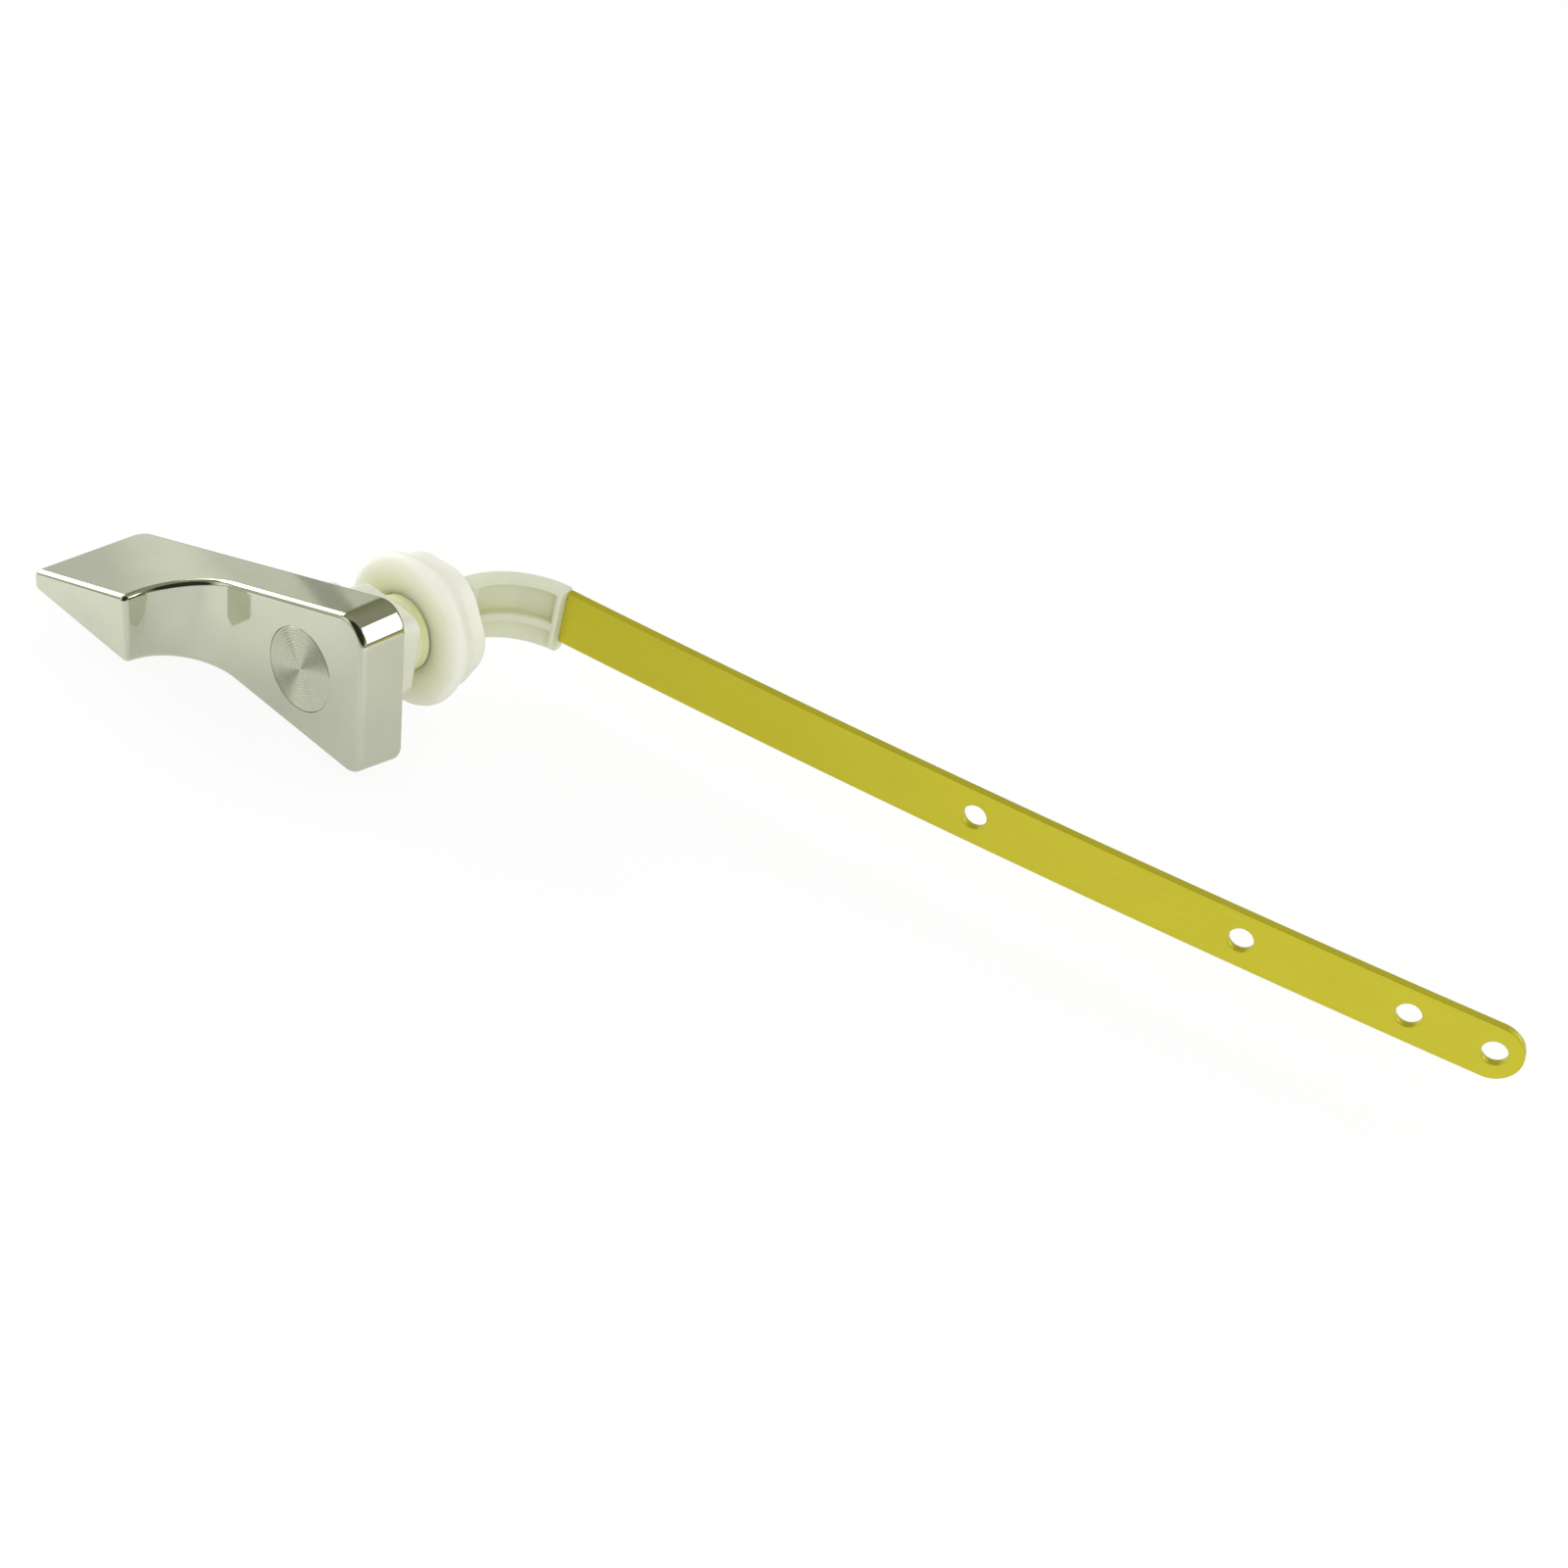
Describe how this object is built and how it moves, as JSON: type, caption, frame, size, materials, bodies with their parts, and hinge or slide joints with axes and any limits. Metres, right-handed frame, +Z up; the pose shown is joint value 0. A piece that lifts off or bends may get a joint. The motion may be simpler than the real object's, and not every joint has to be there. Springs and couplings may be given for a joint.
{
  "type": "cistern lever",
  "caption": "Cistern flush lever: chromed handle with a thumb scoop, square-necked bushing with nut, moulded elbow and a flat strip with chain holes.",
  "frame": {"origin": "on the spindle axis at the outer face of the cistern wall", "axes": "+Y along the spindle into the cistern, +X towards the lever strip, +Z up"},
  "size_m": [0.244, 0.1161, 0.0304],
  "materials": {
    "chrome_plate": "mirror chrome plate",
    "spun_metal": "spun in fine concentric rings",
    "screw_steel": "zinc-plated",
    "cream_plastic": "moulded, satin",
    "nylon": "natural translucent nylon",
    "arm_plastic": "moulded, satin",
    "strip_brass": "rolled, yellow passivated"
  },
  "bodies": {
    "bushing": {"bushing": "cream_plastic"},
    "nut": {"mounting_nut": "nylon"},
    "lever": {"handle": "chrome_plate", "cap_disc": "spun_metal", "handle_screw": "screw_steel", "spindle_arm": "arm_plastic", "lever_strip": "strip_brass"}
  },
  "joints": [
    {"name": "lever_turn", "type": "hinge", "parent": "bushing", "child": "lever", "pos_m": [0, 0, 0], "axis": [0, -1, 0], "range_deg": [0, 40]},
    {"name": "nut_travel", "type": "slide", "parent": "bushing", "child": "nut", "axis": [0, 1, 0], "range_m": [-0.0033, 0.0035]}
  ]
}
